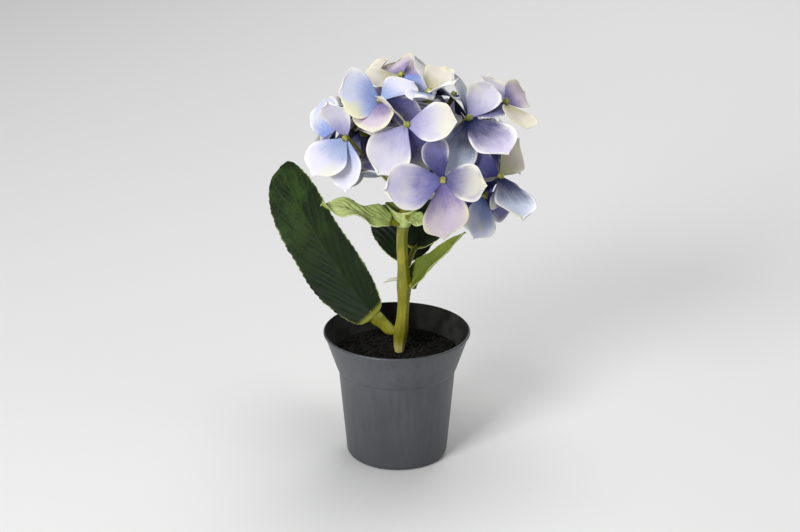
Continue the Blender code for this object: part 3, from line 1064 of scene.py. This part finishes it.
class Petal:
    """One petal: how it leaves its floret, and the shape that chance has given it."""

    def __init__(self, clock, lift, roll, length, width, tint, chance):
        self.clock, self.lift, self.roll = clock, lift, roll
        self.length, self.width, self.tint = length, width, tint
        self.curl = chance.uniform(*CURL)
        self.cup, self.wave = chance.uniform(*CUP), chance.uniform(*WAVE)
        self.left, self.right = chance.uniform(0.0, math.tau), chance.uniform(0.0, math.tau)
        self.skew, self.tip = chance.uniform(*SKEW), chance.uniform(*TIP)

    def point(self, along, across):
        """Where a spot of the flat cloth ends up in a petal that runs along X and faces Z."""
        length, cup, curl = self.length, math.radians(self.cup), math.radians(self.curl)
        phase = self.left if across < 0 else self.right
        ragged = noise.noise(Vector((RAGGED_SCALE * along, phase, 0.0)))
        half = self.width / 2.0 * petal_outline(along) * (1.0 + RAGGED * ragged * along)
        bend = curl * along
        point = self.tip * length * along**8 * math.exp(-((across / POINT_SPREAD) ** 2))
        back = SIDES_BACK * length * across**2 * along
        reach = length * math.sin(bend) / curl + point - back
        lift = length * (1.0 - math.cos(bend)) / curl
        y = half * math.sin(cup * across) / cup + self.skew * length * along**2
        z = half * (1.0 - math.cos(cup * across)) / cup
        side = abs(across)
        ripple = self.wave * math.sin(WAVE_RUN * along + phase) * side**WAVE_HUG * along
        frill = self.wave * math.sin(FRILL_RUN * along + 3.0 * phase) * side**FRILL_HUG * along
        groove = GROOVE_DEPTH * math.exp(-((across / GROOVE_SPREAD) ** 2))
        groove *= along * (1.0 - along) * 4.0
        up = (z + ripple + FRILL_SHARE * frill - groove) * math.cos(bend)
        return Vector((reach - z * math.sin(bend), y, lift + up))

    def place(self, floret):
        """The place of the petal in the plant, round its floret's seat."""
        facing = floret.facing
        up, right = face_frame(facing)
        turn, tilt = math.radians(self.clock), math.radians(self.lift - self.curl / 2.0)
        out = up * math.cos(turn) + right * math.sin(turn)
        ahead = out * math.cos(tilt) + facing * math.sin(tilt)
        normal = facing * math.cos(tilt) - out * math.sin(tilt)
        normal = Matrix.Rotation(math.radians(self.roll), 3, ahead) @ normal
        turned = Matrix((ahead, normal.cross(ahead), normal)).transposed().to_4x4()
        return Matrix.Translation(floret.seat + out * EYE_RADIUS) @ turned

    def net(self, floret):
        """The corners and squares of a coarse copy, which feels for the neighbours."""
        place = self.place(floret)
        reach = 1.0 - NET_START
        corners = [
            place @ self.point(NET_START + reach * step / NET_STEPS, 2.0 * strip / NET_STRIPS - 1.0)
            for step in range(NET_STEPS + 1) for strip in range(NET_STRIPS + 1)
        ]
        row = NET_STRIPS + 1
        squares = [
            (near, near + 1, near + row + 1, near + row)
            for step in range(NET_STEPS) for near in range(step * row, step * row + NET_STRIPS)
        ]
        return corners, squares

    def grow(self, bm, floret):
        """Adds the petal to a mesh."""
        place = self.place(floret)
        made = bmesh.ops.create_grid(
            bm, x_segments=PETAL_STEPS, y_segments=PETAL_STRIPS, size=1.0, calc_uvs=True
        )["verts"]
        for corner in made:
            along = 1.0 - (1.0 - (corner.co.x + 1.0) / 2.0) ** ROW_CROWDING
            corner.co = place @ self.point(along, corner.co.y)
        for face in {face for corner in made for face in corner.link_faces}:
            face.material_index = tint_index[self.tint]


print("petal faces", PETAL_STEPS * PETAL_STRIPS)

# %% [markdown]
# ## One floret
#
# Four petals set crosswise round a bead make a floret. It keeps a row of numbers for each of
# them, and they get their shapes when all florets have their seats. Single petals could be
# strewn over the head as well, but a hydrangea's come in fours.

# %% Gather four petals
class Floret:
    """Four petals round a seat: a row of numbers for each, and the chance that shapes them.

    The petals of a free floret may be changed much to find room, and must stay in the dome."""

    def __init__(self, seat, facing, rows, chance, free):
        self.seat, self.facing, self.rows = seat, facing, rows
        self.chance, self.free = chance, free
        self.petals = []

    def shape(self):
        self.petals = [Petal(*row, self.chance) for row in self.rows]


print("florets ready")

# %% [markdown]
# ## The florets of the front
#
# Ten florets give this head its face, so they are set one by one, as an arranger would bend
# them. A rule alone would fill the dome as well, but no two heads that chance makes look alike.

# %% Seat the front florets
MM_PER_METRE = 1000.0
# seat in metres; facing as heading and rise; then for each petal its clock, lift, roll, length
# and width in millimetres, and tint
FRONT_FLORETS = {
    "left": ((-0.0224, -0.0275, 0.1680), (-115, 12), (
        (214, 32, 0, 22, 20, "frost"), (4, 40, 10, 22, 13, "pearl"),
        (330, -33, -49, 22, 15, "pearl"), (176, 8, 0, 23, 17, "frost"))),
    "upper_left": ((-0.0072, -0.0215, 0.1834), (-112, 44), (
        (248, 36, -20, 23, 25, "dawn"), (38, -24, -8, 19, 17, "frost"),
        (104, -24, 0, 21, 15, "violet"), (178, 23, 0, 21, 20, "blush"))),
    "middle": ((0.0045, -0.0345, 0.1762), (-96, 34), (
        (213, 9, 0, 26, 22, "pearl"), (323, -21, 83, 18, 12, "cream"),
        (97, 27, 0, 25, 20, "pearl"), (151, -42, 0, 25, 19, "violet"))),
    "low_centre": ((0.0202, -0.0465, 0.1549), (-86, 14), (
        (259, 21, 0, 28, 21.5, "lilac"), (342, -43, 0, 22, 13, "violet"),
        (86, 37, -14, 22, 17, "smoke"), (170, -17, 0, 27, 21.5, "blush"))),
    "upper_right": ((0.0318, -0.0265, 0.1768), (-66, 34), (
        (155, 30, 0, 26.5, 22.5, "indigo"), (352, -12, 50, 23, 17, "deep"),
        (39, -2, -10, 21, 17, "pearl"), (196, -26, 0, 25.5, 20, "deep"))),
    "top_front": ((0.0145, -0.0170, 0.1858), (-100, 60), (
        (339, 9, 62, 20, 17, "snow"), (111, 29, -26, 18, 17, "snow"),
        (209, 29, 10, 16, 15, "frost"), (21, -3, 0, 17, 15, "cream"))),
    "far_right": ((0.0486, -0.0120, 0.1796), (-40, 46), (
        (17, -20, 0, 20, 17, "pearl"), (190, 23, 0, 21, 18, "cream"),
        (246, 2, 30, 18, 15, "violet"), (61, -7, 10, 19, 16, "blush"))),
    "low_right": ((0.0459, -0.0304, 0.1513), (-52, 10), (
        (181, 51, 0, 27.5, 23.5, "deep"), (48, -20, 0, 24, 19, "cream"),
        (300, -40, 0, 20, 17, "violet"), (140, -33, 20, 22, 17, "violet"))),
    "under_right": ((0.0394, -0.0220, 0.1393), (-66, -4), (
        (209, 43, 0, 22, 19.5, "sky"), (112, -17, 0, 22, 17, "violet"),
        (250, -30, 0, 22, 17, "violet"), (20, -40, 0, 22, 17, "violet"))),
    "top_left": ((0.0024, -0.0020, 0.1893), (-120, 56), (
        (225, 40, 0, 18, 17, "cream"), (326, -20, 0, 15, 18, "blush"),
        (30, -28, 0, 19, 17, "blush"), (120, -10, 0, 18, 16, "sky"))),
}

chance = random.Random(23)
florets = []
for seat, facing, petals in FRONT_FLORETS.values():
    rows = [(*row[:3], row[3] / MM_PER_METRE, row[4] / MM_PER_METRE, row[5]) for row in petals]
    florets.append(Floret(Vector(seat), direction(*facing), rows, chance, free=False))
print("front florets", len(florets))

# %% [markdown]
# ## The rest of the dome
#
# The others follow a rule. Spots are strewn evenly over the leaning dome along a spiral, and
# each new floret takes the one that is furthest from those already seated, facing outwards
# with a little chance. An outer layer makes the dome, an inner one closes its gaps, and a last
# few fill what the back still shows of the inside.

# %% Fill the dome
HUB = (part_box("flower_hub")[0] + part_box("flower_hub")[1]) / 2.0
HEAD_CENTRE = Vector((0.0065, 0.0, 0.1545))
HEAD_RADII = Vector((0.0505, 0.0480, 0.0385))
HEAD_LEAN = math.radians(16.0)
CANDIDATES = 900
GOLDEN_TURN = math.pi * (3.0 - math.sqrt(5.0))
LOW_FRONT_GAP = 0.75
STRAY_FACING = 0.16
QUARTER = 90.0
# what chance picks from: degrees and metres
CLOCK_STRAY = (-8, 8)
LIFT = (-12, 26)
ROLL = (-14, 14)
LENGTH = (0.0235, 0.0270)
WIDTH = (0.0185, 0.0225)
COMMON_TINTS = ("frost", "sky", "pearl", "lilac", "lilac", "blush", "violet", "deep", "cream")
# the inner layer lies in shade, so its tints are mostly dark ones: painted shade
SHADED_INNER_TINTS = ("violet", "violet", "deep", "lilac")
# share of the dome's reach, florets, lowest rise, how far forward a seat may be, and tints
OUTER_LAYER = (0.80, 15, 4.0, -0.15, COMMON_TINTS)
INNER_LAYER = (0.52, 13, 14.0, -1.00, SHADED_INNER_TINTS)
LAST_FILL = (0.66, 7, 20.0, -0.15, COMMON_TINTS)


def lean(vector, angle=HEAD_LEAN):
    """Turns a vector from the upright head to the leaning one."""
    return Matrix.Rotation(angle, 3, "Y") @ vector


def dome_point(towards, share):
    """The point of the leaning dome in a direction from the hub, at a share of its reach."""
    start = HUB - HEAD_CENTRE
    a = sum((t / r) ** 2 for t, r in zip(towards, HEAD_RADII))
    b = sum(s * t / r**2 for s, t, r in zip(start, towards, HEAD_RADII))
    c = sum((s / r) ** 2 for s, r in zip(start, HEAD_RADII)) - 1.0
    reach = (math.sqrt(b * b - a * c) - b) / a
    return HUB + lean(towards) * reach * share


def seat_layer(share, count, lowest_rise, front, tints, chance):
    """Adds florets at a share of the dome's reach, none lower or further forward than given."""
    spots = []
    for index in range(CANDIDATES):
        height = 1.0 - (1.0 - math.sin(math.radians(lowest_rise))) * (index + 0.5) / CANDIDATES
        flat = math.sqrt(1.0 - height * height)
        turn = index * GOLDEN_TURN
        towards = Vector((flat * math.cos(turn), flat * math.sin(turn), height))
        if towards.y > front and height > LOW_FRONT_GAP * -towards.y:
            spots.append(dome_point(towards, share))
    for _ in range(count):
        spot = max(spots, key=lambda point: min((point - other.seat).length for other in florets))
        stray = Vector([chance.uniform(-1, 1) for _ in range(3)])
        facing = ((spot - HUB).normalized() + STRAY_FACING * stray).normalized()
        clock = chance.uniform(0.0, QUARTER)
        rows = [
            (
                clock + QUARTER * index + chance.uniform(*CLOCK_STRAY),
                chance.uniform(*LIFT),
                chance.uniform(*ROLL),
                chance.uniform(*LENGTH),
                chance.uniform(*WIDTH),
                chance.choice(tints),
            )
            for index in range(4)
        ]
        florets.append(Floret(spot, facing, rows, chance, free=True))


seat_layer(*OUTER_LAYER, chance)
seat_layer(*INNER_LAYER, chance)
seat_layer(*LAST_FILL, random.Random(5))
print("florets", len(florets))

# %% [markdown]
# ## Dealing out the florets
#
# The plain head is cut into masses round the hub, and each mass has a flower stalk. A floret
# belongs to the mass whose direction is nearest to its own, so that every mass is replaced by
# the blossom that grows there. One piece for the whole head would look the same, but it would
# be too heavy to handle.

# %% Deal the florets to the masses
# heading and rise of each mass in the upright head
MASSES = {
    "top": (0.0, 90.0),
    "upper_front": (-100.0, 46.0),
    "upper_right": (-8.0, 44.0),
    "upper_back": (84.0, 46.0),
    "upper_left": (176.0, 44.0),
    "lower_front_left": (-128.0, 6.0),
    "lower_front_right": (-66.0, 6.0),
    "lower_right": (-4.0, 6.0),
    "lower_back_right": (56.0, 6.0),
    "lower_back_left": (118.0, 6.0),
    "lower_left": (174.0, 6.0),
}
mass_aims = {name: lean(direction(*aim)) for name, aim in MASSES.items()}
members = {name: [] for name in MASSES}
for floret in florets:
    towards = (floret.seat - HUB).normalized()
    nearest = max(mass_aims, key=lambda name: mass_aims[name].dot(towards))
    members[nearest].append(floret)
for group in members.values():
    for floret in group:
        floret.shape()
print({name: len(group) for name, group in members.items()})

# %% [markdown]
# ## Making room
#
# Real petals push each other aside, and a simulation of nearly two hundred of them would take
# long. Here each petal in turn tries changes of its lift and its length, the mildest first,
# until a coarse copy of it crosses none of the petals that are already there. Where no try is
# free of faults, the least bad one is kept. The front florets are given one by one, so theirs
# change the least. The others are also kept inside the dome, and from hanging below the head in
# front, where the young leaves show.

# %% Make room for each petal
NEAR = 0.034
MOST_REACH = 1.04
SKIRT_BACK = 0.010
SKIRT_HEIGHT = 0.1300
SKIRT_SLANT = 0.45


def dome_measure(point):
    """How far out a point lies, where the dome's own skin is 1."""
    spoke = lean(point - HEAD_CENTRE, -HEAD_LEAN)
    return math.sqrt(sum((s / r) ** 2 for s, r in zip(spoke, HEAD_RADII)))


def strays_out(point):
    """Whether a point leaves the dome, or hangs below the head's slanting front."""
    hangs = point.y < SKIRT_BACK and point.z + SKIRT_SLANT * point.x < SKIRT_HEIGHT
    return hangs or dome_measure(point) > MOST_REACH


def room_trials(shares, changes):
    """Pairs of a change of lift and a share of length to try, the mildest first."""
    return [
        (change * side, share)
        for share in shares for change in changes for side in (1.0, -1.0) if change or side > 0.0
    ]


FRONT_TRIALS = room_trials((1.0, 0.93, 0.86), (0.0, 4.0, 8.0, 12.0))
FREE_TRIALS = room_trials((1.0, 0.9, 0.8, 0.7, 0.6, 0.5), (0.0, 7.0, 14.0, 21.0, 28.0, 35.0))


def feel(petal, floret, placed):
    """How badly a petal crosses the placed ones or strays, with its copy's tree and middle."""
    corners, squares = petal.net(floret)
    tree = BVHTree.FromPolygons(corners, squares)
    middle = sum(corners, Vector()) / len(corners)
    crossings = sum(
        len(tree.overlap(other)) for other, spot in placed if (middle - spot).length < NEAR
    )
    strays = sum(strays_out(corner) for corner in corners) if floret.free else 0
    return 2 * crossings + strays, tree, middle


def make_room(petal, floret, placed):
    """Settles a petal on the first trial without a fault, or on the one with the least."""
    lift, length = petal.lift, petal.length
    best = None
    for change, share in FREE_TRIALS if floret.free else FRONT_TRIALS:
        petal.lift, petal.length = lift + change, length * share
        fault, tree, middle = feel(petal, floret, placed)
        if best is None or fault < best[0]:
            best = (fault, petal.lift, petal.length, tree, middle)
        if fault == 0:
            break
    petal.lift, petal.length = best[1:3]
    return best[3:]


placed = []
for floret in florets:
    placed += [make_room(petal, floret, placed) for petal in floret.petals]
print("petals placed", len(placed))

# %% [markdown]
# ## Growing the petals
#
# The petals of a mass are one mesh, in that mass's place. Solidify gives the cloth its
# thickness, and one level of subdivision rounds the few squares of each petal. More squares
# from the start would bend the same way and cost more to place.

# %% Grow the petals
PETAL_THICKNESS = 0.00028
SOFTENING = 1

for name, group in members.items():
    bm = bmesh.new()
    bm.loops.layers.uv.new("dye")
    for floret in group:
        for petal in floret.petals:
            petal.grow(bm, floret)
    blossom = finished("petals_" + name, bm, *petal_finishes)
    thicken(blossom, PETAL_THICKNESS)
    soften = blossom.modifiers.new("soften", "SUBSURF")
    soften.levels = SOFTENING
    soften.render_levels = SOFTENING
    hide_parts("bloom_" + name)
print("blossoms", len(members))

# %% [markdown]
# ## The beads
#
# The eye of a floret is a small green bead with four tiny knobs, like unopened anthers. All
# beads are one piece, because they are made and dyed together.

# %% Thread the beads
BEAD_RADIUS = 0.0016
BEAD_RISE = 0.5
KNOBS = 4
KNOB_SIZE = 0.42
KNOB_RISE = 1.1
KNOB_SPREAD = 0.62
FIRST_KNOB = 45.0

bead_finish = Finish("bead_plastic", 0.45)
tone = bead_finish.mottle(bead_finish.place(), 600.0, 2.0).from_to(0.35, 0.65)
bead_finish.paint(bead_finish.mix(tone, rgb(0.16, 0.17, 0.025), rgb(0.40, 0.38, 0.08)))

bm = bmesh.new()
for floret in florets:
    seat, facing = floret.seat, floret.facing
    up, right = face_frame(facing)
    bead = bmesh.ops.create_icosphere(bm, subdivisions=2, radius=BEAD_RADIUS)["verts"]
    bmesh.ops.translate(bm, verts=bead, vec=seat + facing * BEAD_RADIUS * BEAD_RISE)
    for knob in range(KNOBS):
        turn = math.radians(FIRST_KNOB + 360.0 * knob / KNOBS)
        out = up * math.cos(turn) + right * math.sin(turn)
        spot = seat + (facing * KNOB_RISE + out * KNOB_SPREAD) * BEAD_RADIUS
        small = bmesh.ops.create_icosphere(bm, subdivisions=1, radius=BEAD_RADIUS * KNOB_SIZE)
        bmesh.ops.translate(bm, verts=small["verts"], vec=spot)
beads = finished("floret_beads", bm, bead_finish)
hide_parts("bloom_top")
print("beads", len(florets))

# %% [markdown]
# ## Knot and flower stalks
#
# The stem ends in a knot, from which one flower stalk runs into each mass. It forks once for
# every floret it carries: the fork leaves the stalk's end, bows outwards and meets the
# floret's back. Petals hide most of this, but where a gap opens it has to be there.

# %% Fork the flower stalks
KNOT_RADIUS = 0.0062
KNOT_SEGMENTS = 24
KNOT_RINGS = 14
KNOT_LUMPS = 0.06
KNOT_LUMP_SCALE = 700.0
# reach from the hub, and radius, of the points of a stalk up to its fork
STALK_LINE = ((KNOT_RADIUS * 0.8, 0.0014), (0.011, 0.0011), (0.0160, 0.0012))
STALK_SIDES = 8
FORK_RADII = (0.0009, 0.0007, 0.0006, 0.0007, 0.0013)
FORK_STEPS = 3
FORK_SIDES = 7
FORK_ROOT = 0.0006
FORK_BOW = 0.0015
# how far towards the bow the fork's first bend and the neck lie
FIRST_BEND = 0.3
NECK_BEND = 0.4
NECK_LENGTH = 0.001
SEAT_GAP = 0.0004

bm = bmesh.new()
knot = bmesh.ops.create_uvsphere(
    bm, u_segments=KNOT_SEGMENTS, v_segments=KNOT_RINGS, radius=KNOT_RADIUS
)["verts"]
for corner in knot:
    corner.co *= 1.0 + KNOT_LUMPS * noise.noise(corner.co * KNOT_LUMP_SCALE)
bmesh.ops.translate(bm, verts=knot, vec=HUB)
knot_piece = finished("flower_knot", bm, stem_finish)
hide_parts("flower_hub")

for name, group in members.items():
    aim = mass_aims[name]
    points = [HUB + aim * reach for reach, _ in STALK_LINE]
    fork = points[-1]
    bm = bmesh.new()
    grow_limb(bm, points, [radius for _, radius in STALK_LINE], STALK_SIDES)
    for floret in group:
        facing = floret.facing
        back = floret.seat - facing * SEAT_GAP
        bow = (fork + back) / 2.0 + (aim - facing) * FORK_BOW
        first = fork * (1.0 - FIRST_BEND) + bow * FIRST_BEND
        neck = back * (1.0 - NECK_BEND) + bow * NECK_BEND - facing * NECK_LENGTH
        line = [fork - aim * FORK_ROOT, first, bow, neck, back]
        grow_smoothly(bm, line, FORK_RADII, FORK_STEPS, FORK_SIDES)
    bmesh.ops.recalc_face_normals(bm, faces=bm.faces)
    stalk_piece = finished("flower_stalks_" + name, bm, stem_finish)
    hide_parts("flower_stalk_" + name)
print("flower stalks", len(members))
